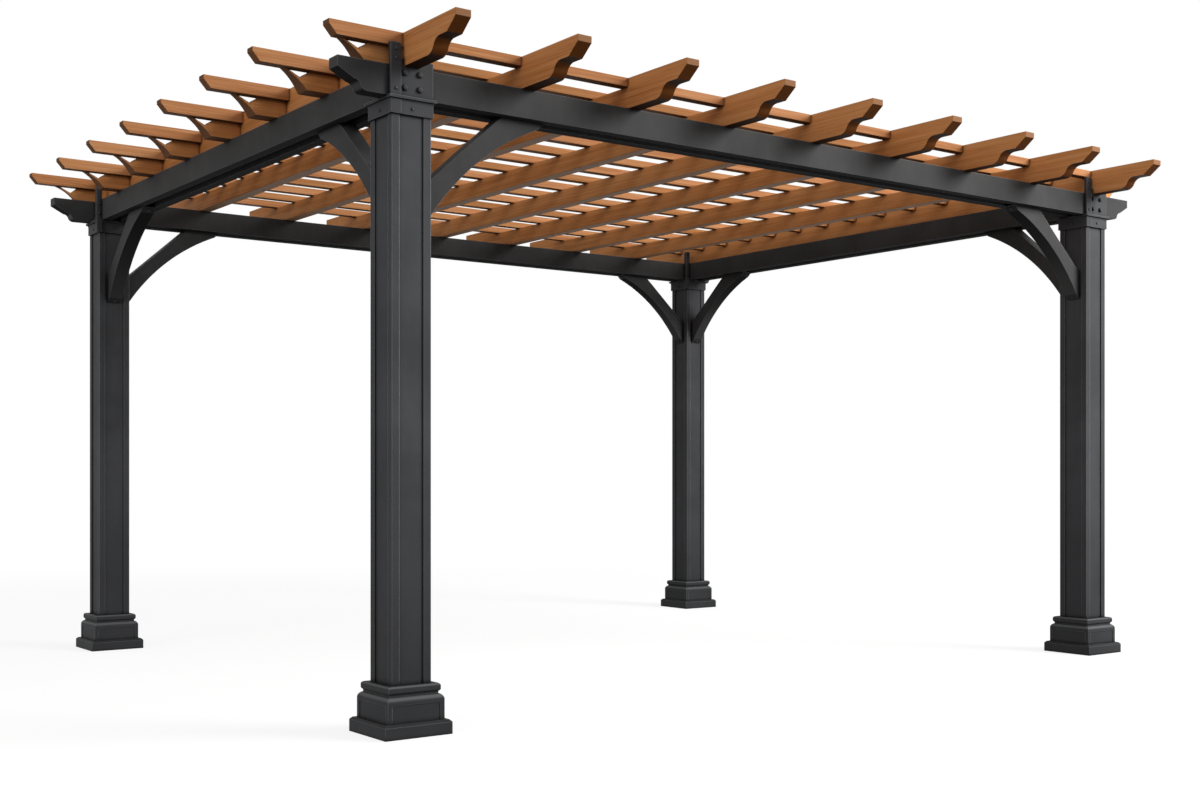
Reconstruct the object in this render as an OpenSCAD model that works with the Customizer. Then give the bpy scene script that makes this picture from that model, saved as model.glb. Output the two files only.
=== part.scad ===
// Free-standing pergola. Four dark posts on moulded plinths carry a ring of
// beams with curved knee braces. On the beams lies a wooden roof: rafters with
// shaped ends, purlins bedded in their tops, and slats between the purlins.
// The origin is on the ground at the centre of the four posts. X runs along the
// long side, Y from front to back, and Z up.

/* [Layout] */
// Spacing of the post centres along the long side
post_gap_x = 3730; // [2800:10:5000]
// Spacing of the post centres along the short side
post_gap_y = 2910; // [2300:10:4000]
// Height of the beams' underside above the ground
beam_z = 2084; // [1900:2:2600]

/* [Posts] */
// Side of the square posts
post_w = 146; // [136:1:170]
// Width of the corner strips on each face of a post
strip_w = 28; // [16:1:34]
// Depth of the flat panels behind the corner strips
panel_d = 5; // [2:0.5:8]

/* [Plinths] */
// Side of the slab at the foot of a plinth
plinth_w = 250; // [236:1:320]
// Height of the slab
slab_h = 48; // [30:1:70]
// Chamfer along the slab's upper edge
slab_chamfer = 8; // [2:1:14]
// Side of the plinth's body
body_w = 212; // [206:1:228]
// Height of the plinth's body
body_h = 86; // [60:1:140]
// Radius of the rounded shoulder of the body
shoulder_r = 20; // [8:1:22]
// Width of the corner strips beside the sunk panels of the body
plinth_strip = 17; // [10:1:40]
// Depth of the sunk panels of the body
plinth_panel_d = 2; // [1:0.5:4]
// Plain margin between the sunk panels and the shoulder
plinth_margin = 8; // [2:1:20]
// Height of the groove under the bead
groove_h = 6; // [4:1:16]
// Depth of the groove
groove_d = 6; // [3:1:10]
// Width over the bead at the top
bead_w = 194; // [184:1:204]
// Height of the bead
bead_h = 27; // [22:1:34]
// Radius of the bead's edges
bead_r = 9; // [4:1:10]

/* [Beams] */
// Width of the beams
beam_w = 134; // [112:1:136]
// Height of the beams
beam_h = 100; // [80:1:140]
// Overhang of the front and back beams past the post centres
beam_overhang = 265; // [220:5:330]
// Thickness of the board that runs on past the posts, in line with the outer face
beam_board = 60; // [42:1:64]
// Height of the upright face at a beam's end
beam_tip = 34; // [15:1:36]
// Length of the slanted nose behind the upright face
beam_nose = 60; // [40:1:80]
// Fall of the slanted nose
beam_drop = 32; // [20:1:36]
// Length of the S-shaped step down to the beam's underside
beam_step = 46; // [30:1:60]
// Width of the lips beside the groove in a beam's underside
lip_w = 41; // [38:1:50]
// Depth of the groove in a beam's underside
channel_d = 24; // [8:1:50]

/* [Post brackets] */
// Height of the collar under the beams
collar_h = 58; // [40:1:90]
// Thickness of the collar
collar_t = 6; // [4:1:8]
// Radius of the cove under the collar's flange
cove_r = 9; // [5:1:14]
// Thickness of the flange at the collar's top
flange_t = 9; // [5:1:14]
// Width of the plate on the beam's outer face
plate_w = 160; // [140:1:164]
// Height of the plate
plate_h = 123; // [105:1:150]
// Thickness of the plate
plate_t = 9; // [6:1:11]
// Width of the wide leg of the outer corner angle
angle_w = 39; // [28:1:44]
// Width of the legs of the inner corner angle
inner_angle_w = 25; // [20:1:34]
// Thickness of the corner angles
angle_t = 5; // [3:0.5:8]
// Rise of the corner angles above the beams
angle_rise = 72; // [50:1:76]
// Radius of the corners at the top of a corner angle
angle_r = 8; // [4:1:10]

/* [Knee braces] */
// Thickness of the braces
brace_t = 64; // [56:1:70]
// Length that a brace reaches along the beam
brace_reach = 480; // [380:5:640]
// Length that a brace reaches down the post
brace_drop = 400; // [320:5:520]
// Length of the bearing face on the beam
brace_bearing_beam = 175; // [90:1:220]
// Length of the bearing face on the post
brace_bearing_post = 126; // [90:1:180]
// Rise of the arc along the lower edge
brace_rise = 42; // [15:1:50]
// Size of the slanted cuts at the ends of the arc
brace_nib = 24; // [8:1:40]

/* [Rafters] */
// Number of rafters
rafter_count = 9; // [5:1:12]
// Thickness of the rafters
rafter_t = 56; // [38:1:64]
// Depth of the rafters
rafter_d = 110; // [96:1:150]
// Overhang of the rafters past the post centres
rafter_overhang = 395; // [300:5:480]
// Height of the upright face at a rafter's tip
rafter_tip = 22; // [10:1:30]
// Length of the slanted nose behind the tip
nose_run = 52; // [30:1:80]
// Fall of the slanted nose
nose_drop = 40; // [20:1:46]
// Length of the ledge behind the nose
ledge_run = 46; // [15:1:60]
// Length of the S-shaped step down to the lower edge
step_run = 74; // [40:1:100]

/* [Purlins and slats] */
// Number of purlins
purlin_count = 8; // [5:1:9]
// Thickness of the purlins
purlin_t = 42; // [34:1:50]
// Depth of the purlins past the end rafters
purlin_d = 46; // [38:1:52]
// Depth of the purlins between the end rafters, and of their bed in the rafters' tops
purlin_mid_d = 32; // [24:1:36]
// Overhang of the purlins past the post centres
purlin_overhang = 365; // [340:5:440]
// Overhang of the front purlin, which is shorter
front_overhang = 295; // [290:5:440]
// Height of the upright face at a purlin's tip
purlin_tip = 14; // [8:1:30]
// Length of the slanted cut under a purlin's tip
purlin_cut = 28; // [10:1:60]
// Number of slats between neighbouring purlins
slats_per_gap = 1; // [1:1:2]
// Width of the slats
slat_w = 42; // [24:1:50]
// Thickness of the slats
slat_t = 30; // [12:1:36]
// Gap at each side of a purlin in its notch
notch_fit = 0.4; // [0.2:0.1:0.8]

/* [Purlin tails] */
// Thickness of the tails, from front to back
tail_t = 72; // [50:1:80]
// Setback of the tails behind the front faces of the purlins
tail_set = 26; // [10:1:28]
// Length of a tail's lower edge, from the rafter outwards
tail_foot = 124; // [116:1:150]
// Length of the curve from the lower edge out to the purlin
tail_run = 95; // [85:1:110]
// Hollow of that curve, measured from its chord
tail_hollow = 9; // [2:1:10]
// Length of the curved strut at the purlin
tail_strut = 20; // [18:1:30]
// Length of the block between the rafter and the notch at the purlin
tail_block = 116; // [90:1:120]
// Slant of the block's end inside the notch
tail_slant = 30; // [16:1:32]
// Depth of the notch
tail_notch = 25; // [10:1:26]

/* [Hidden] */
dark = "#3a3b3d";
wood = "#9c6038";
beam_top = beam_z + beam_h;
roof_top = beam_top + rafter_d;
half_x = post_gap_x / 2;
half_y = post_gap_y / 2;
// Overlap of a cut past the face that it opens
past = 1;
$fn = 96;

// Places of the four posts: name and the side of each axis
corners = [["front_left", -1, -1], ["front_right", 1, -1], ["back_left", -1, 1], ["back_right", 1, 1]];
sides = [["left", -1], ["right", 1]];

function rafter_x(i) = -half_x + (i - 1) * post_gap_x / (rafter_count - 1);
// The first and last purlins lie flush with the outer faces of the beams
purlin_reach = half_y + beam_w / 2 - purlin_t / 2;
purlin_pitch = 2 * purlin_reach / (purlin_count - 1);
function purlin_y(i) = -purlin_reach + (i - 1) * purlin_pitch;
slat_ys = [for (i = [1 : purlin_count - 1], j = [1 : slats_per_gap])
    purlin_y(i) + j * purlin_pitch / (slats_per_gap + 1)];

// Puts a piece drawn for the front left post at the post on the given sides
module at_corner(sx, sy) {
    translate([sx * half_x, sy * half_y, 0])
        mirror([sx > 0 ? 1 : 0, 0, 0])
            mirror([0, sy > 0 ? 1 : 0, 0])
                children();
}

// Points along an arc round a centre, from one angle to another
function arc_points(centre, r, a0, a1, steps = 8) =
    [for (k = [0 : steps]) let (a = a0 + (a1 - a0) * k / steps) centre + r * [cos(a), sin(a)]];

// Points along an arc between two points that bows to the left of the way from a to b
function bow_points(a, b, bow, steps = 8) =
    let (
        chord = norm(b - a),
        along = (b - a) / chord,
        r = chord * chord / (8 * bow) + bow / 2,
        turn = asin(chord / (2 * r)),
        centre = (a + b) / 2 + (bow - r) * [-along[1], along[0]]
    )
    [for (k = [0 : steps]) let (t = turn * (2 * k / steps - 1))
        centre + r * sin(t) * along + r * cos(t) * [-along[1], along[0]]];

// Points along an S of two equal arcs, level at both ends, that runs down from a point
function s_points(from, run, fall) =
    let (
        r = (run * run + fall * fall) / (4 * fall),
        turn = 2 * atan(fall / run),
        upper = arc_points(from + [0, -r], r, 90, 90 - turn),
        lower = arc_points(from + [run, r - fall], r, 270 - turn, 270)
    )
    concat(upper, [for (k = [1 : len(lower) - 1]) lower[k]]);

// Lower outline of a board's end, from its tip at x = 0 and its top at y = 0: an upright
// face, a slanted nose, a ledge and an S-shaped step down to the lower edge
function end_points(tip, nose, drop, ledge, step, depth) =
    concat([[0, 0], [0, -tip], [nose, -tip - drop]],
        ledge > 0 ? s_points([nose + ledge, -tip - drop], step, depth - tip - drop)
            : let (s = s_points([nose, -tip - drop], step, depth - tip - drop))
                [for (k = [1 : len(s) - 1]) s[k]]);

// Outline of a board of the given half length with the same end at both sides
function both_ends(half, end) =
    concat([for (p = end) [p[0] - half, p[1]]],
        [for (k = [len(end) - 1 : -1 : 0]) [half - end[k][0], end[k][1]]]);

// Stands a flat outline up in the XZ plane, with its thickness across Y
module along_x(t) {
    rotate([90, 0, 0]) linear_extrude(t, center = true) children();
}

// Stands a flat outline up in the YZ plane, with its thickness across X
module along_y(t) {
    rotate([90, 0, 90]) linear_extrude(t, center = true) children();
}

// Square post with corner strips standing proud of four flat panels
module post() {
    panel_w = post_w - 2 * strip_w;
    color(dark) linear_extrude(beam_z) difference() {
        square(post_w, center = true);
        for (a = [0 : 90 : 270])
            rotate(a) translate([post_w / 2 - panel_d, -panel_w / 2]) square([panel_d + past, panel_w]);
    }
}

// Side view of a plinth: chamfered slab, body with round shoulders, groove and bead
module plinth_outline() {
    body_z = slab_h + body_h;
    bead_z = body_z + groove_h;
    neck_w = bead_w - 2 * groove_d;
    polygon([
        [-plinth_w / 2, 0], [plinth_w / 2, 0], [plinth_w / 2, slab_h - slab_chamfer],
        [plinth_w / 2 - slab_chamfer, slab_h], [-plinth_w / 2 + slab_chamfer, slab_h],
        [-plinth_w / 2, slab_h - slab_chamfer]
    ]);
    translate([-body_w / 2, 0]) square([body_w, body_z - shoulder_r]);
    translate([-body_w / 2 + shoulder_r, 0]) square([body_w - 2 * shoulder_r, body_z]);
    for (s = [-1, 1]) translate([s * (body_w / 2 - shoulder_r), body_z - shoulder_r]) circle(shoulder_r);
    translate([-neck_w / 2, 0]) square([neck_w, bead_z + bead_h]);
    translate([-bead_w / 2, bead_z + bead_r]) square([bead_w, bead_h - 2 * bead_r]);
    translate([-bead_w / 2 + bead_r, bead_z]) square([bead_w - 2 * bead_r, bead_h]);
    for (s = [-1, 1], z = [bead_r, bead_h - bead_r])
        translate([s * (bead_w / 2 - bead_r), bead_z + z]) circle(bead_r);
}

// Square moulding mitred round the foot of a post
module plinth() {
    plinth_h = slab_h + body_h + groove_h + bead_h;
    panel_w = body_w - 2 * plinth_strip;
    color(dark) difference() {
        intersection() {
            along_x(plinth_w + 2 * past) plinth_outline();
            along_y(plinth_w + 2 * past) plinth_outline();
        }
        translate([-post_w / 2, -post_w / 2, -past]) cube([post_w, post_w, plinth_h + 2 * past]);
        for (a = [0 : 90 : 270])
            rotate(a) translate([body_w / 2 - plinth_panel_d, -panel_w / 2, slab_h])
                cube([plinth_panel_d + past, panel_w, body_h - shoulder_r - plinth_margin]);
    }
}

// Upright leg with a rounded top, standing on y = 0
module leg_outline(w, h) {
    r = min(angle_r, 0.4 * w);
    square([w, h - r]);
    translate([r, h - r]) square([w - 2 * r, r]);
    for (x = [r, w - r]) translate([x, h - r]) circle(r);
}

// Upright angle with its outer corner on the Z axis and its legs along +X and +Y
module corner_angle(leg_x, leg_y) {
    h = collar_h + beam_h + angle_rise;
    translate([0, angle_t / 2, beam_z - collar_h]) along_x(angle_t) leg_outline(leg_x, h);
    translate([angle_t / 2, 0, beam_z - collar_h]) along_y(angle_t) leg_outline(leg_y, h);
}

// Plate on the beam's outer face, slotted from above for the end rafter
module plate_outline() {
    slot_w = rafter_t + 2 * notch_fit;
    difference() {
        translate([-plate_w / 2, 0]) square([plate_w, plate_h]);
        translate([-slot_w / 2, beam_h]) square([slot_w, plate_h]);
    }
}

// Side view of the collar, hung from y = 0: flange, cove and upright body
module collar_outline() {
    collar_w = post_w + 2 * collar_t;
    flange_w = collar_w + 2 * cove_r;
    translate([-collar_w / 2, -collar_h]) square([collar_w, collar_h]);
    translate([-flange_w / 2, -flange_t]) square([flange_w, flange_t]);
    difference() {
        translate([-flange_w / 2, -flange_t - cove_r]) square([flange_w, cove_r]);
        for (s = [-1, 1]) translate([s * flange_w / 2, -flange_t - cove_r]) circle(cove_r);
    }
}

// Collar round the post's top, with a plate on the beam's outer face and angles at two
// opposite corners of the post. The hand tells which pair of corners. A lug of the
// flange carries the inner angle.
module bracket(hand) {
    flange_w = post_w + 2 * collar_t + 2 * cove_r;
    turned = hand < 0 ? 1 : 0;
    outer = [post_w / 2 + collar_t + angle_t / 2, beam_w / 2 + plate_t + angle_t];
    inner = beam_w / 2 + inner_angle_w;
    color(dark) {
        difference() {
            translate([0, 0, beam_z]) {
                intersection() {
                    along_x(flange_w + 2 * past) collar_outline();
                    along_y(flange_w + 2 * past) collar_outline();
                }
                mirror([turned, 0, 0]) translate([0, 0, -flange_t]) cube([inner, inner, flange_t]);
            }
            translate([-post_w / 2, -post_w / 2, 0]) cube([post_w, post_w, beam_z + past]);
        }
        translate([0, -beam_w / 2 - plate_t / 2, beam_z]) along_x(plate_t) plate_outline();
        mirror([turned, 0, 0]) {
            translate([-outer[0], -outer[1], 0]) corner_angle(angle_w, plate_t + angle_t);
            rotate(180) translate([-inner, -inner, 0]) corner_angle(inner_angle_w, inner_angle_w);
        }
    }
}

// Underside groove of a beam that runs along X
module channel(length) {
    translate([-length / 2, -beam_w / 2 + lip_w, -past])
        cube([length, beam_w - 2 * lip_w, channel_d + past]);
}

// Front or back beam. Its outer board runs on past the posts and has shaped ends.
module long_beam() {
    half = half_x + beam_overhang;
    block = half_x + beam_w / 2;
    end = end_points(beam_tip, beam_nose, beam_drop, 0, beam_step, beam_h);
    color(dark) translate([0, 0, beam_z]) difference() {
        union() {
            translate([0, (beam_board - beam_w) / 2, beam_h])
                along_x(beam_board) polygon(both_ends(half, end));
            translate([-block, -beam_w / 2, 0]) cube([2 * block, beam_w, beam_h]);
        }
        channel(2 * block + 2 * past);
    }
}

// Left or right beam, set between the front and back beams
module side_beam() {
    length = post_gap_y - beam_w;
    color(dark) translate([0, 0, beam_z]) rotate(90) difference() {
        translate([-length / 2, -beam_w / 2, 0]) cube([length, beam_w, beam_h]);
        channel(length + 2 * past);
    }
}

// Knee brace in side view: from the post's panel at x = 0 up to the beam at y = 0,
// straight above and arched below
module brace_outline() {
    reach = brace_reach + panel_d;
    upper = [reach - brace_nib, -brace_nib];
    lower = [brace_nib, brace_nib - brace_drop];
    chord = norm(upper - lower);
    along = (upper - lower) / chord;
    arc_r = (chord * chord / 4 + brace_rise * brace_rise) / (2 * brace_rise);
    arc_centre = (upper + lower) / 2 + (arc_r - brace_rise) * [along[1], -along[0]];
    difference() {
        polygon([
            [0, brace_bearing_post - brace_drop], [reach - brace_bearing_beam, 0], [reach, 0],
            upper, lower, [0, -brace_drop]
        ]);
        translate(arc_centre) circle(arc_r, $fn = 360);
    }
}

module long_brace() {
    color(dark) translate([post_w / 2 - panel_d, 0, beam_z]) along_x(brace_t) brace_outline();
}

module side_brace() {
    color(dark) translate([0, post_w / 2 - panel_d, beam_z]) along_y(brace_t) brace_outline();
}

// Cut in a rafter's top between two places, down to the purlins' underside
module bed(from, to) {
    translate([from - notch_fit, -purlin_mid_d]) square([to - from + 2 * notch_fit, purlin_mid_d + past]);
}

// Rafter with shaped ends. The end rafters have a notch for each purlin. The others have
// one long bed, on which the purlins and slats lie.
module rafter(i) {
    half = half_y + rafter_overhang;
    end = end_points(rafter_tip, nose_run, nose_drop, ledge_run, step_run, rafter_d);
    color(wood) translate([rafter_x(i), 0, roof_top]) along_y(rafter_t) difference() {
        polygon(both_ends(half, end));
        if (i == 1 || i == rafter_count)
            for (k = [1 : purlin_count]) bed(purlin_y(k) - purlin_t / 2, purlin_y(k) + purlin_t / 2);
        else
            bed(purlin_y(1) - purlin_t / 2, purlin_y(purlin_count) + purlin_t / 2);
    }
}

// Purlin with slanted ends, its top flush with the rafters. Past the end rafters it is
// deeper, with shoulders against their outer faces.
module purlin(i) {
    half = half_x + (i == 1 ? front_overhang : purlin_overhang);
    shoulder = half_x + rafter_t / 2;
    end = [
        [0, 0], [0, -purlin_tip], [purlin_cut, -purlin_d],
        [half - shoulder, -purlin_d], [half - shoulder, -purlin_mid_d]
    ];
    color(wood) translate([0, purlin_y(i), roof_top]) along_x(purlin_t) polygon(both_ends(half, end));
}

// Slats between the purlins, on the rafters' beds from one end rafter to the other
module slats() {
    length = post_gap_x - rafter_t;
    color(wood) for (y = slat_ys)
        translate([-length / 2, y - slat_w / 2, roof_top - purlin_mid_d]) cube([length, slat_w, slat_t]);
}

// Tail in side view, on the beam from the rafter's face at x = 0: a block, a notch and
// a curved strut that rises to the purlin's underside
module tail_outline() {
    rise = rafter_d - purlin_d;
    reach = tail_foot + tail_run;
    polygon(concat(
        [[0, 0]], bow_points([tail_foot, 0], [reach, rise], tail_hollow),
        [[reach - tail_strut, rise], [tail_block + tail_slant, rise - tail_notch], [tail_block, rise], [0, rise]]
    ));
}

// Curved tails under the overhanging purlins at one end of the roof. Each strut narrows in
// plan to the back of its purlin. The last tail is no thicker than that from end to end.
module purlin_tails(s) {
    reach = tail_foot + tail_run;
    back = purlin_t - tail_set;
    color(wood) for (i = [1 : purlin_count]) {
        t = i < purlin_count ? tail_t : back;
        mirror([s < 0 ? 1 : 0, 0, 0])
            translate([half_x + rafter_t / 2, purlin_y(i) - back + purlin_t / 2, beam_top]) difference() {
                translate([0, t / 2, 0]) along_x(t) tail_outline();
                if (t > back) translate([0, 0, -past]) linear_extrude(rafter_d)
                    polygon([[tail_foot, t], [reach, back], [reach + past, t], [tail_foot, t + past]]);
            }
    }
}

for (c = corners) {
    at_corner(c[1], c[2]) post();
    at_corner(c[1], c[2]) plinth();
    at_corner(c[1], c[2]) bracket(c[1] * c[2]);
    at_corner(c[1], c[2]) long_brace();
    at_corner(c[1], c[2]) side_brace();
}
translate([0, -half_y, 0]) long_beam();  // beam_front
translate([0, half_y, 0]) mirror([0, 1, 0]) long_beam();  // beam_back
translate([-half_x, 0, 0]) side_beam();  // beam_left
translate([half_x, 0, 0]) side_beam();  // beam_right
for (i = [1 : rafter_count])
    rafter(i);
for (i = [1 : purlin_count])
    purlin(i);
slats();
for (s = sides)
    purlin_tails(s[1]);
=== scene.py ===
# Free-standing pergola: a charcoal frame of four posts, beams and knee braces that
# carries a stained wooden roof of rafters, purlins and thin slats.
import math

import bpy
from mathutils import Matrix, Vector


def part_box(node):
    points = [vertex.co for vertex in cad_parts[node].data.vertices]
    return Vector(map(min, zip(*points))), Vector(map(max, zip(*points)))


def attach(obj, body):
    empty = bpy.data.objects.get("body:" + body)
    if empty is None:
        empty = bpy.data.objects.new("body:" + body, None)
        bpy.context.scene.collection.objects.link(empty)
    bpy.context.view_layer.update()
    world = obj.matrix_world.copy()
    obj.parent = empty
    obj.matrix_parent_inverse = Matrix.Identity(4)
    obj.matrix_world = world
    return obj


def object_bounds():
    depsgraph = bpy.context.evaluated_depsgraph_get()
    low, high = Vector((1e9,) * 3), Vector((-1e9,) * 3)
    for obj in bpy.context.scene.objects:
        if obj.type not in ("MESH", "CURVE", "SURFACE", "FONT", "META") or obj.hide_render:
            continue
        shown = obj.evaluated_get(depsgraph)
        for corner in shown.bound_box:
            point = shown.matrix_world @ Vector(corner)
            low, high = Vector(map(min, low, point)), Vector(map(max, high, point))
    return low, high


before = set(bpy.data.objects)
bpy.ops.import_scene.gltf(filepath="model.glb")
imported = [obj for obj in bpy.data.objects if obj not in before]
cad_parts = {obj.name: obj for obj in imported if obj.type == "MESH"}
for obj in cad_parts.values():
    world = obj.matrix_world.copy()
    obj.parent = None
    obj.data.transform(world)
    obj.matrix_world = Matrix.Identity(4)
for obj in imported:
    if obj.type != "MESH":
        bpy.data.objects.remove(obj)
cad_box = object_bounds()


# Posts and plinths.
# Square posts with corner strips, cased in smooth sheet with a satin charcoal coat.
# Each stands in a moulded plinth of the same finish, slid over the post's foot.
class Wire:
    """One output of a node. Sums of wires add Math nodes to the same tree."""

    def __init__(self, tree, socket=None):
        self.tree = tree
        self.socket = socket

    def node(self, kind, settings, sockets, out=0):
        """Adds a node with its settings, such as a ramp's stops, then its values or links."""
        made = self.tree.nodes.new(kind)
        for name, value in settings.items():
            if name == "stops":
                ramp = made.color_ramp.elements
                while len(ramp) < len(value):
                    ramp.new(0.5)
                for element, (place, colour) in zip(ramp, value):
                    element.position = place
                    element.color = colour
            else:
                setattr(made, name, value)
        for name, value in sockets.items():
            for one in value if isinstance(value, list) else [value]:
                if isinstance(one, Wire):
                    self.tree.links.new(one.socket, made.inputs[name])
                else:
                    made.inputs[name].default_value = one
        return Wire(self.tree, made.outputs[out])

    def out(self, name):
        return Wire(self.tree, self.socket.node.outputs[name])

    def maths(self, operation, first, second=0.0):
        return self.node("ShaderNodeMath", {"operation": operation}, {0: first, 1: second})

    def __add__(self, other):
        return self.maths("ADD", self, other)

    def __sub__(self, other):
        return self.maths("SUBTRACT", self, other)

    def __rsub__(self, other):
        return self.maths("SUBTRACT", other, self)

    def __mul__(self, other):
        return self.maths("MULTIPLY", self, other)

    def __truediv__(self, other):
        return self.maths("DIVIDE", self, other)

    def __pow__(self, other):
        return self.maths("POWER", self, other)

    __radd__ = __add__
    __rmul__ = __mul__


def new_finish(name):
    material = bpy.data.materials.new(name)
    material.use_nodes = True
    return material, Wire(material.node_tree), material.node_tree.nodes["Principled BSDF"]


def feed(node, sockets):
    for name, value in sockets.items():
        if isinstance(value, Wire):
            value.tree.links.new(value.socket, node.inputs[name])
        else:
            node.inputs[name].default_value = value


def ease(wire, value, low, high):
    return wire.node("ShaderNodeMapRange", {"interpolation_type": "SMOOTHSTEP"},
                     {"Value": value, "From Min": low, "From Max": high})


def blend_colours(wire, factor, first, second):
    return wire.node("ShaderNodeMix", {"data_type": "RGBA"}, {0: factor, 6: first, 7: second}, 2)


def flat_normal(wire):
    return wire.node("ShaderNodeNewGeometry", {}, {}, "True Normal")


def height_of(wire, vector):
    return wire.node("ShaderNodeSeparateXYZ", {}, {0: vector}).out("Z")


def facing_down(wire, low, high):
    return ease(wire, 0.0 - height_of(wire, flat_normal(wire)), low, high)


def eased_edges(wire):
    """The normal of slightly rounded edges, and masks of the outer edges and the inner seams."""
    edge_radius = 0.004
    seam_reach = 5 * edge_radius
    rounded = wire.node("ShaderNodeBevel", {"samples": 6}, {"Radius": edge_radius})
    turn = wire.node("ShaderNodeVectorMath", {"operation": "DOT_PRODUCT"},
                     {0: rounded, 1: flat_normal(wire)}, "Value")
    open_sky = wire.node("ShaderNodeAmbientOcclusion", {"samples": 6},
                         {"Distance": seam_reach}, "AO")
    edges = ease(wire, 1.0 - turn, 0.008, 0.16) * ease(wire, open_sky, 0.78, 0.96)
    return rounded, edges, 1.0 - open_sky


def charcoal_coat(name, deep, pale, highlight, rough):
    """Satin coat that drifts from deep to pale, with painted highlights in the pale edge colour on
    outer edges and sloping shoulders, and painted shade on undersides, seams, flat tops, the slab's
    ledge and towards the feet.
    """
    # Painted shade fades out between the first two levels above the feet. The three greys below are
    # painted shade at the feet, on flat tops and ledges, and under things and in seams.
    foot_shade_low, foot_shade_high = 0.15, 1.10
    slab_top, slab_clear = 0.050, 0.070
    foot_shade_colour, top_shade_colour, shade = [(grey, grey, grey, 1) for grey in (0.008, 0.006, 0.004)]
    material, wire, shader = new_finish(name)
    place = wire.node("ShaderNodeTexCoord", {}, {}, "Object")
    cloudy = wire.node("ShaderNodeTexNoise", {},
                       {"Vector": place, "Scale": 2.6, "Detail": 4.0, "Roughness": 0.6})
    speckle = wire.node("ShaderNodeTexNoise", {},
                        {"Vector": place, "Scale": 620.0, "Detail": 2.0})
    smears = wire.node("ShaderNodeMapping", {}, {"Vector": place, "Scale": (38.0, 38.0, 5.0)})
    smears = wire.node("ShaderNodeTexNoise", {}, {"Vector": smears, "Scale": 1.0, "Detail": 3.0})
    rounded, edges, seams = eased_edges(wire)
    drift = ease(wire, cloudy * 0.86 + smears * 0.14, 0.34, 0.66)
    colour = blend_colours(wire, drift, deep, pale)

    # Painted shade: the coat darkens towards the feet.
    level = height_of(wire, place)
    foot_shade_mask = 1.0 - ease(wire, level, foot_shade_low, foot_shade_high)
    colour = blend_colours(wire, foot_shade_mask * 0.52, colour, foot_shade_colour)
    colour = blend_colours(wire, speckle * 0.05, colour, highlight)

    # Painted highlight on sloping shoulders above the slab, and painted shade on flat tops and the
    # slab's ledge.
    upward = height_of(wire, rounded)
    above_slab = ease(wire, level, slab_top, slab_clear)
    sloping = ease(wire, upward, 0.15, 0.60) * (1.0 - ease(wire, upward, 0.78, 0.97))
    colour = blend_colours(wire, sloping * above_slab * 0.22, colour, highlight)
    flat_top = ease(wire, upward, 0.90, 0.99)
    ledge = ease(wire, upward, 0.30, 0.70) * (1.0 - above_slab)
    colour = blend_colours(wire, flat_top * 0.45 + ledge * 0.40, colour, top_shade_colour)

    # Painted shade on undersides and in seams, and painted highlights on outer edges, weaker near
    # the ground.
    below = facing_down(wire, 0.55, 0.95)
    colour = blend_colours(wire, below * 0.85, colour, shade)
    colour = blend_colours(wire, ease(wire, seams, 0.12, 0.52) * 0.94, colour, shade)
    colour = blend_colours(wire, edges * (0.85 - 0.35 * foot_shade_mask), colour, highlight)
    bump = wire.node("ShaderNodeBump", {}, {"Height": speckle, "Normal": rounded,
                                            "Strength": 0.10, "Distance": 0.0004})
    feed(shader, {"Base Color": colour, "Normal": bump, "Specular IOR Level": 0.10,
                  "Roughness": rough + 0.10 * smears - 0.08 * edges + 0.35 * below})
    return material


def dress(node, material):
    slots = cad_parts[node].data.materials
    slots.clear()
    slots.append(material)


corners = {"front_left": (-1, -1), "front_right": (1, -1),
           "back_left": (-1, 1), "back_right": (1, 1)}
# The pale edge colour of each coat is a painted highlight.
post_coat = charcoal_coat("charcoal_post_coat", deep=(0.036, 0.037, 0.039, 1),
                          pale=(0.056, 0.057, 0.062, 1), highlight=(0.330, 0.338, 0.352, 1), rough=0.56)
for corner in corners:
    dress("post_" + corner, post_coat)
    dress("plinth_" + corner, post_coat)

# Beams and knee braces.
# Hollow charcoal beams lie on the post tops, and curved braces stiffen each corner.
# A socket screw in each slanted brace end draws it to the beam and to the post.
# The pale edge colour is a painted highlight.
beam_coat = charcoal_coat("charcoal_beam_coat", deep=(0.031, 0.031, 0.031, 1),
                          pale=(0.050, 0.050, 0.050, 1), highlight=(0.200, 0.203, 0.208, 1), rough=0.58)
for side in ("front", "back", "left", "right"):
    dress("beam_" + side, beam_coat)
for corner in corners:
    dress("long_brace_" + corner, beam_coat)
    dress("side_brace_" + corner, beam_coat)


def heads_tree(name, sizes):
    """A tree with an input for the places, one for each size and one for the finish."""
    tree = bpy.data.node_groups.new(name, "GeometryNodeTree")
    tree.interface.new_socket("Places", in_out="INPUT", socket_type="NodeSocketGeometry")
    for size in sizes:
        tree.interface.new_socket(size, in_out="INPUT", socket_type="NodeSocketFloat")
    tree.interface.new_socket("Finish", in_out="INPUT", socket_type="NodeSocketMaterial")
    tree.interface.new_socket("Heads", in_out="OUTPUT", socket_type="NodeSocketGeometry")
    return tree, Wire(tree).node("NodeGroupInput", {}, {})


def lift(given, shape, height):
    up = given.node("ShaderNodeCombineXYZ", {}, {"Z": height})
    return given.node("GeometryNodeTransform", {}, {"Geometry": shape, "Translation": up})


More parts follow.
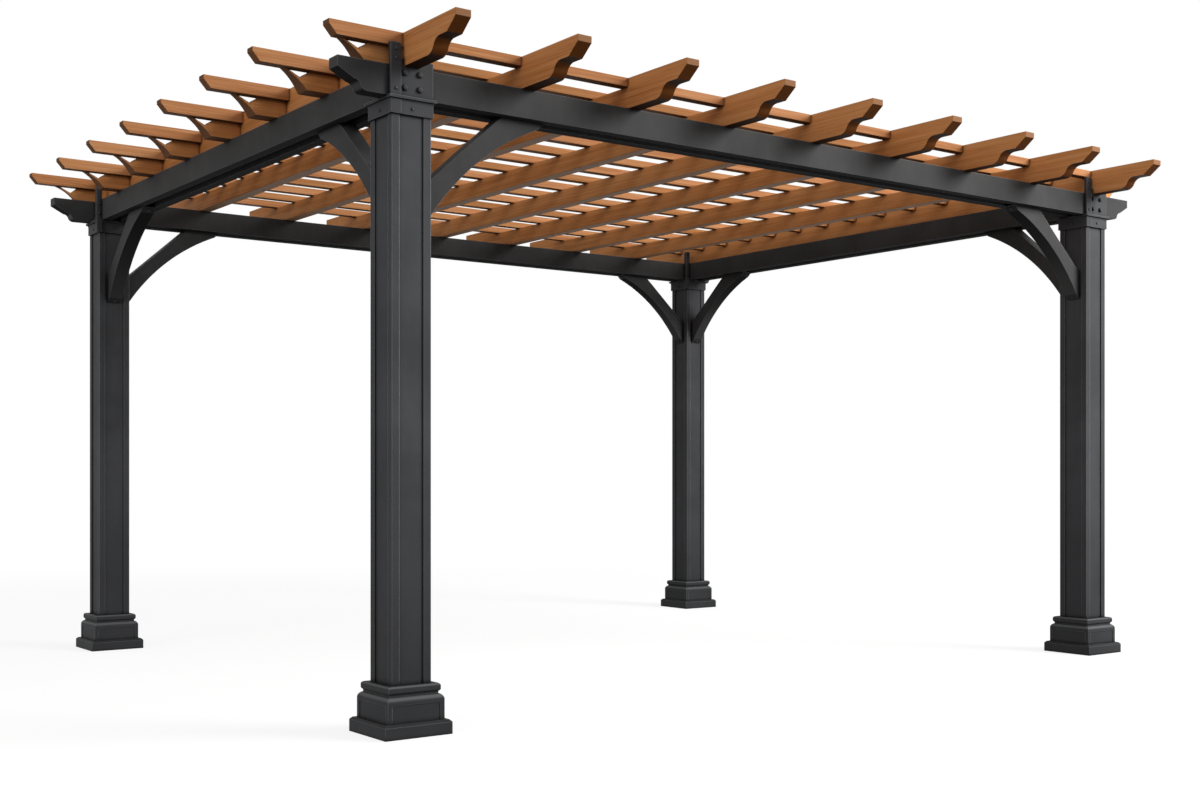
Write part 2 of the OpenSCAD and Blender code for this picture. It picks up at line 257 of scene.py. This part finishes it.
def set_heads(given, shapes):
    """Joins the shapes to a head and sets it on each place, facing outwards with its own spin."""
    head = given.node("GeometryNodeJoinGeometry", {}, {"Geometry": shapes})
    facing = given.node("GeometryNodeInputNamedAttribute", {"data_type": "FLOAT_VECTOR"},
                        {"Name": "facing"})
    turned = given.node("FunctionNodeAlignRotationToVector", {"axis": "Z"}, {"Vector": facing})
    spin = given.node("FunctionNodeRandomValue", {"data_type": "FLOAT"},
                      {2: 0.0, 3: math.tau, "Seed": 4}, 1)
    spun = given.node("FunctionNodeAxisAngleToRotation", {},
                      {"Axis": (0.0, 0.0, 1.0), "Angle": spin})
    turned = given.node("FunctionNodeRotateRotation", {"rotation_space": "LOCAL"},
                        {"Rotation": turned, "Rotate By": spun})
    placed = given.node("GeometryNodeInstanceOnPoints", {},
                        {"Points": given.out("Places"), "Instance": head, "Rotation": turned})
    real = given.node("GeometryNodeRealizeInstances", {}, {"Geometry": placed})
    done = given.node("GeometryNodeSetMaterial", {},
                      {"Geometry": real, "Material": given.out("Finish")})
    feed(given.tree.nodes.new("NodeGroupOutput"), {"Heads": done})


def fasteners(name, tree, places, sizes):
    """Heads at the places, each a point and a facing direction, as one plain mesh."""
    mesh = bpy.data.meshes.new(name)
    mesh.from_pydata([point for point, facing in places], [], [])
    facings = mesh.attributes.new("facing", "FLOAT_VECTOR", "POINT")
    facings.data.foreach_set("vector", [value for point, facing in places for value in facing])
    piece = bpy.data.objects.new(name, mesh)
    bpy.context.scene.collection.objects.link(piece)
    modifier = piece.modifiers.new("Heads", "NODES")
    modifier.node_group = tree
    for item in tree.interface.items_tree:
        if item.in_out == "INPUT" and item.name in sizes:
            modifier[item.identifier] = sizes[item.name]
    seen = piece.evaluated_get(bpy.context.evaluated_depsgraph_get())
    made = bpy.data.meshes.new_from_object(seen)
    piece.modifiers.clear()
    piece.data = made
    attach(piece, "root")


# A pan head: a low rim, a domed top and the hexagon of its socket.
rim_sides, hexagon_sides, top_share, socket_share = 16, 6, 0.62, 0.40
screw_tree, screw = heads_tree("Screw heads", ["Diameter", "Height"])
screw_radius = screw.out("Diameter") * 0.5
screw_high = screw.out("Height")
rim = screw.node("GeometryNodeMeshCylinder", {},
                 {"Vertices": rim_sides, "Radius": screw_radius, "Depth": screw_high})
dome = screw.node("GeometryNodeMeshCone", {"fill_type": "NGON"},
                  {"Vertices": rim_sides, "Radius Top": screw_radius * top_share,
                   "Radius Bottom": screw_radius, "Depth": screw_high * 0.5})
socket = screw.node("GeometryNodeMeshCylinder", {},
                    {"Vertices": hexagon_sides, "Radius": screw_radius * socket_share,
                     "Depth": screw_high * 0.2})
set_heads(screw, [lift(screw, rim, screw_high * 0.1), lift(screw, dome, screw_high * 0.6),
                  lift(screw, socket, screw_high * 1.02)])


def middle_of(node):
    low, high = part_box(node)
    return (low + high) / 2


# The pale edge colour is a painted highlight.
screw_coat = charcoal_coat("blackened_screw", deep=(0.026, 0.026, 0.027, 1),
                           pale=(0.040, 0.040, 0.042, 1), highlight=(0.170, 0.172, 0.178, 1), rough=0.34)
beam_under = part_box("beam_left")[0].z
half_cut, slant = 0.012, math.sqrt(0.5)
brace_places = []
for corner, (sx, sy) in corners.items():
    for brace, axis, out in (("long_brace_" + corner, 0, sx), ("side_brace_" + corner, 1, sy)):
        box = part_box(brace)
        inner, outer = sorted((end[axis] for end in box), key=lambda end: end * out)
        facing = Vector((0, 0, -slant))
        facing[axis] = -out * slant
        for away, level in ((inner + out * half_cut, beam_under - half_cut),
                            (outer - out * half_cut, box[0].z + half_cut)):
            spot = middle_of(brace)
            spot[axis], spot.z = away, level
            brace_places.append((tuple(spot), tuple(facing)))
fasteners("brace_screws", screw_tree, brace_places,
          {"Diameter": 0.013, "Height": 0.004, "Finish": screw_coat})

# Post brackets.
# Pressed and folded plate in the frame's charcoal: a coved collar round each post top,
# a plate with four bolts on the beam's outer face, and upright corner angles.
# The pale edge colour is a painted highlight.
bracket_coat = charcoal_coat("charcoal_bracket_coat", deep=(0.036, 0.037, 0.039, 1),
                             pale=(0.056, 0.057, 0.062, 1), highlight=(0.220, 0.225, 0.235, 1),
                             rough=0.54)
for corner in corners:
    dress("bracket_" + corner, bracket_coat)

# A hexagon bolt head on a round washer, with its upper corners turned off.
washer_sides, crown_share, body_share = 24, 0.72, 0.75
bolt_tree, bolt = heads_tree("Bolt heads", ["Washer diameter", "Washer thickness",
                                            "Head width", "Head height"])
washer = bolt.out("Washer thickness")
bolt_high = bolt.out("Head height")
bolt_radius = bolt.out("Head width") * (0.5 / math.cos(math.pi / 6))
disc = bolt.node("GeometryNodeMeshCylinder", {},
                 {"Vertices": washer_sides, "Radius": bolt.out("Washer diameter") * 0.5,
                  "Depth": washer})
hexagon = bolt.node("GeometryNodeMeshCylinder", {},
                    {"Vertices": hexagon_sides, "Radius": bolt_radius,
                     "Depth": bolt_high * body_share})
crown = bolt.node("GeometryNodeMeshCone", {"fill_type": "NGON"},
                  {"Vertices": hexagon_sides, "Radius Top": bolt_radius * crown_share,
                   "Radius Bottom": bolt_radius, "Depth": bolt_high * (1 - body_share)})
set_heads(bolt, [lift(bolt, disc, washer * 0.5),
                 lift(bolt, hexagon, washer + bolt_high * (body_share / 2)),
                 lift(bolt, crown, washer + bolt_high * body_share)])

beam_half, plate_t, angle_t, collar_half = 0.067, 0.009, 0.005, 0.079
bolt_half_gap, bolt_levels = 0.0275, (0.028, 0.077)
outer_angle_mid, outer_angle_levels = 0.062, (0.022, 0.120, 0.151)
inner_angle_mid, inner_angle_face, inner_angle_levels = 0.0795, 0.092, (0.028, 0.074)
collar_screw_drop = 0.038
bolt_places, bracket_places = [], []
for corner, (_, sy) in corners.items():
    centre = middle_of("post_" + corner)
    plate_y = centre.y + sy * (beam_half + plate_t)
    for dx in (-bolt_half_gap, bolt_half_gap):
        for dz in bolt_levels:
            bolt_places.append(((centre.x + dx, plate_y, beam_under + dz), (0, sy, 0)))
    for dz in outer_angle_levels:
        bracket_places.append(((centre.x + sy * outer_angle_mid, plate_y + sy * angle_t,
                                beam_under + dz), (0, sy, 0)))
    for dz in inner_angle_levels:
        for dx, dy, facing in ((inner_angle_mid, inner_angle_face, (0, -sy, 0)),
                               (inner_angle_face, inner_angle_mid, (-sy, 0, 0))):
            bracket_places.append(((centre.x - sy * dx, centre.y - sy * dy,
                                    beam_under + dz), facing))
    for ax, ay in ((1, 0), (-1, 0), (0, 1), (0, -1)):
        bracket_places.append(((centre.x + ax * collar_half, centre.y + ay * collar_half,
                                beam_under - collar_screw_drop), (ax, ay, 0)))
fasteners("plate_bolts", bolt_tree, bolt_places,
          {"Washer diameter": 0.021, "Washer thickness": 0.002, "Head width": 0.015,
           "Head height": 0.0075, "Finish": screw_coat})
fasteners("bracket_screws", screw_tree, bracket_places,
          {"Diameter": 0.011, "Height": 0.0035, "Finish": screw_coat})

# Rafters.
# Nine solid softwood boards, stained a warm brown, with sawn S-shaped ends. They lie on
# the beams. The end ones are notched for the purlins, the others sawn down to one long bed.
roof_top = cad_box[1].z


def stained_board(name, along, first, pitch, seed, tones, end_tone, under_tone, ring):
    """Stained solid wood that runs along X (0) or Y (1), each board with its own rings."""
    heart_depth, heart_sway, heart_rise, ring_wobble = 0.16, 0.12, 0.10, 0.05
    grain_step = 3.7
    # Painted shade in seams.
    seam_shade = (0.030, 0.012, 0.005, 1)
    material, wire, shader = new_finish(name)
    place = wire.node("ShaderNodeTexCoord", {}, {}, "Object")
    split = wire.node("ShaderNodeSeparateXYZ", {}, {0: place})
    run_axis, wide_axis = ("X", "Y") if along == 0 else ("Y", "X")
    length, across = split.out(run_axis), split.out(wide_axis)
    board = wire.maths("ROUND", (across - first) / pitch)
    pick = wire.node("ShaderNodeTexWhiteNoise", {"noise_dimensions": "1D"},
                     {"W": board + seed}, "Color")
    pick = wire.node("ShaderNodeSeparateColor", {}, {"Color": pick})
    shift = board * grain_step

    def fibres(run, wide, detail, rough=0.5):
        stretched = wire.node("ShaderNodeCombineXYZ", {}, {
            "X": length * run + shift, "Y": across * wide, "Z": split.out("Z") * wide})
        return wire.node("ShaderNodeTexNoise", {}, {"Vector": stretched, "Scale": 1.0,
                                                    "Detail": detail, "Roughness": rough})

    # Rings about a heart that lies elsewhere in each board, streaks, pores and blotches of stain.
    side = across - first - board * pitch - (pick.out("Red") - 0.5) * heart_sway
    down = split.out("Z") - (roof_top - heart_depth) + pick.out("Green") * heart_rise
    wobble = (fibres(0.9, 5.0, 2.0) - 0.5) * ring_wobble
    reach = (side * side + down * down) ** 0.5 + wobble
    rings = wire.maths("SINE", reach * (math.tau / ring)) * 0.5 + 0.5
    streaks = fibres(1.8, 70.0, 4.0, 0.62)
    pores = fibres(14.0, 520.0, 2.0)
    blotches = fibres(1.1, 2.0, 3.0)
    tone = (streaks * 0.72 + rings * 0.06 + pores * 0.28 + blotches * 0.25
            + pick.out("Blue") * 0.14 - 0.22)
    colour = wire.node("ShaderNodeValToRGB", {"stops": tones}, {"Fac": tone}, "Color")

    # Sawn end grain, the underside colours, painted shade in seams and painted highlights on the
    # edges.
    rounded, edges, seams = eased_edges(wire)
    normal = wire.node("ShaderNodeSeparateXYZ", {}, {0: flat_normal(wire)})
    sawn = ease(wire, wire.maths("ABSOLUTE", normal.out(run_axis)), 0.35, 0.80)
    grain = blend_colours(wire, rings * 0.10 + pores * 0.10, end_tone, tones[1][1])
    colour = blend_colours(wire, sawn * 0.96, colour, grain)
    # Downward faces take the underside colour: painted shade on purlins and slats, and on the
    # rafters' ends past the beams.
    beneath = blend_colours(wire, streaks * 0.12, under_tone(wire, length), tones[0][1])
    colour = blend_colours(wire, facing_down(wire, 0.15, 0.50), colour, beneath)
    colour = blend_colours(wire, ease(wire, seams, 0.15, 0.60) * 0.7, colour, seam_shade)
    colour = blend_colours(wire, edges * 0.18, colour, tones[-1][1])
    bump = wire.node("ShaderNodeBump", {}, {"Height": streaks * 0.6 + pores * 0.4,
                                            "Normal": rounded, "Strength": 0.22,
                                            "Distance": 0.0012})
    feed(shader, {"Base Color": colour, "Normal": bump, "Specular IOR Level": 0.05,
                  "Roughness": 0.62 - 0.16 * streaks + 0.12 * sawn})
    return material


def rafter_under(wire, length):
    """Grey-brown wood on the undersides below the roof, and painted shade on the ends past the
    beams: dark brown on slanted noses, near black on flat undersides.
    """
    beam_inside, beam_middle = 1.38, 1.46
    end_shade = blend_colours(wire, facing_down(wire, 0.85, 0.99),
                             (0.092, 0.027, 0.004, 1), (0.006, 0.003, 0.001, 1))
    past_beam = ease(wire, wire.maths("ABSOLUTE", length), beam_inside, beam_middle)
    return blend_colours(wire, past_beam, (0.336, 0.202, 0.125, 1), end_shade)


rafter_count = 9
rafters = ["rafter_%d" % number for number in range(1, rafter_count + 1)]
rafter_lines = [middle_of(rafter).x for rafter in rafters]
rafter_tones = [(0.16, (0.280, 0.094, 0.024, 1)), (0.42, (0.510, 0.205, 0.067, 1)),
                (0.62, (0.614, 0.279, 0.104, 1)), (0.88, (0.686, 0.388, 0.188, 1))]
rafter_wood = stained_board("stained_rafter", along=1, first=rafter_lines[0],
                            pitch=rafter_lines[1] - rafter_lines[0], seed=11.0, tones=rafter_tones,
                            end_tone=(0.235, 0.118, 0.062, 1), under_tone=rafter_under, ring=0.011)
for rafter in rafters:
    dress(rafter, rafter_wood)


# Purlins and their tails.
# Boards of the same wood, laid on the rafters' beds and in the end rafters' notches, with
# slanted ends. Under each overhang a sawn tail with a curved strut stands on the side beam.
def purlin_under(wire, length):
    """Painted shade on the downward faces, a little paler on the slanted cuts."""
    return blend_colours(wire, facing_down(wire, 0.85, 0.99),
                         (0.180, 0.080, 0.036, 1), (0.100, 0.041, 0.016, 1))


purlin_count = 8
purlins = ["purlin_%d" % number for number in range(1, purlin_count + 1)]
purlin_lines = [middle_of(purlin).y for purlin in purlins]
purlin_pitch = purlin_lines[1] - purlin_lines[0]
purlin_tones = [(0.16, (0.215, 0.077, 0.024, 1)), (0.42, (0.396, 0.163, 0.061, 1)),
                (0.62, (0.500, 0.230, 0.097, 1)), (0.88, (0.620, 0.345, 0.192, 1))]
# Painted shade: purlin and tail ends get a darker end grain than the rafters' ends of the same
# wood.
shaded_purlin_end = (0.090, 0.045, 0.022, 1)
purlin_wood = stained_board("stained_purlin", along=0, first=purlin_lines[0], pitch=purlin_pitch,
                            seed=47.0, tones=purlin_tones, end_tone=shaded_purlin_end,
                            under_tone=purlin_under, ring=0.010)
tail_wood = stained_board("stained_tail", along=0, first=purlin_lines[0], pitch=purlin_pitch,
                          seed=29.0, tones=rafter_tones, end_tone=shaded_purlin_end,
                          under_tone=purlin_under, ring=0.010)
for purlin in purlins:
    dress(purlin, purlin_wood)
for side in ("left", "right"):
    dress("purlin_tails_" + side, tail_wood)


# Slats.
# Strips of the same wood, one in each gap between the purlins, laid on the rafters' beds
# and held by a small screw at each crossing, as the purlins are.
def slat_under(wire, length):
    # Painted shade: the slats' undersides are a dark brown.
    return (0.108, 0.045, 0.016, 1)


half_pitch = purlin_pitch / 2
slat_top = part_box("slats")[1].z
slat_tones = [(0.16, (0.200, 0.070, 0.019, 1)), (0.42, (0.350, 0.145, 0.046, 1)),
              (0.62, (0.440, 0.198, 0.074, 1)), (0.88, (0.540, 0.290, 0.138, 1))]
slat_wood = stained_board("stained_slat", along=0, first=purlin_lines[0], pitch=half_pitch,
                          seed=83.0, tones=slat_tones, end_tone=(0.500, 0.290, 0.170, 1),
                          under_tone=slat_under, ring=0.008)
dress("slats", slat_wood)
roof_places = [((x, y, roof_top), (0, 0, 1)) for x in rafter_lines for y in purlin_lines]
roof_places += [((x, y + half_pitch, slat_top), (0, 0, 1))
                for x in rafter_lines[1:-1] for y in purlin_lines[:-1]]
# The pale edge colour is a painted highlight.
roof_screw = charcoal_coat("browned_screw", deep=(0.060, 0.040, 0.028, 1),
                           pale=(0.095, 0.065, 0.045, 1), highlight=(0.20, 0.16, 0.13, 1), rough=0.40)
fasteners("roof_screws", screw_tree, roof_places,
          {"Diameter": 0.009, "Height": 0.0012, "Finish": roof_screw})


# Stage: floor, light and camera.
# A white studio floor that keeps the soft shadow, a broad key light from the right
# front, a broader one farther off at the left, and a camera at hip height.
def looked_at(wire):
    """One where the camera looks, also by way of gloss or glass, and nought for other light."""
    path = wire.node("ShaderNodeLightPath", {}, {}, "Is Camera Ray")
    return path + path.out("Is Glossy Ray") + path.out("Is Transmission Ray")


near_glow, added_glow, glow_from, glow_to = 0.82, 0.08, 3.0, 11.0
floor_half, floor_drop = 60, 0.001
white, wire = new_finish("studio_floor")[:2]
place = wire.node("ShaderNodeTexCoord", {}, {}, "Object")
away = wire.node("ShaderNodeVectorMath", {"operation": "LENGTH"}, {0: place}, "Value")
strength = looked_at(wire) * (ease(wire, away, glow_from, glow_to) * added_glow + near_glow)
glow = wire.node("ShaderNodeEmission", {}, {"Color": (1, 1, 1, 1), "Strength": strength})
matt = wire.node("ShaderNodeBsdfDiffuse", {}, {"Color": (0.22, 0.22, 0.22, 1)})
both = wire.node("ShaderNodeAddShader", {}, {0: matt, 1: glow})
feed(white.node_tree.nodes["Material Output"], {"Surface": both})
ground = bpy.data.meshes.new("studio_floor")
ground.from_pydata([(x * floor_half, y * floor_half, -floor_drop)
                    for x, y in ((-1, -1), (1, -1), (1, 1), (-1, 1))], [], [(0, 1, 2, 3)])
ground.materials.append(white)
floor = bpy.data.objects.new("studio_floor", ground)
bpy.context.scene.collection.objects.link(floor)

ambient = 0.47
world = bpy.data.worlds.new("studio")
bpy.context.scene.world = world
world.use_nodes = True
feed(world.node_tree.nodes["Background"], {
    "Color": (1, 1, 1, 1),
    "Strength": looked_at(Wire(world.node_tree)) * (1.0 - ambient) + ambient})


def softbox(name, place, target, size, watts):
    light = bpy.data.lights.new(name, "AREA")
    light.shape = "DISK"
    light.size = size
    light.energy = watts
    lamp = bpy.data.objects.new(name, light)
    lamp.location = place
    lamp.rotation_euler = (Vector(target) - Vector(place)).to_track_quat("-Z", "Y").to_euler()
    bpy.context.scene.collection.objects.link(lamp)


softbox("key_light", (5.2, -7.0, 5.2), (0.4, -0.4, 2.2), size=5.0, watts=960)
softbox("fill_light", (-17.8, -7.0, 6.4), (-0.8, 0.0, 2.2), size=8.5, watts=740)

picture_w, picture_h, sensor_w = 1200, 800, 36.0
focal_px, centre_u, centre_v = 1463.6, 573.7, 472.4
lens = bpy.data.cameras.new("camera")
lens.sensor_width = sensor_w
lens.lens = focal_px * sensor_w / picture_w
lens.shift_x = (picture_w / 2 - centre_u) / picture_w
lens.shift_y = (centre_v - picture_h / 2) / picture_w
lens.clip_end = 200
camera = bpy.data.objects.new("camera", lens)
camera.location = (-4.248, -5.711, 0.860)
camera.rotation_euler = (math.radians(90), 0, math.radians(-35.99))
bpy.context.scene.collection.objects.link(camera)
bpy.context.scene.camera = camera
bpy.context.scene.view_settings.view_transform = "Standard"
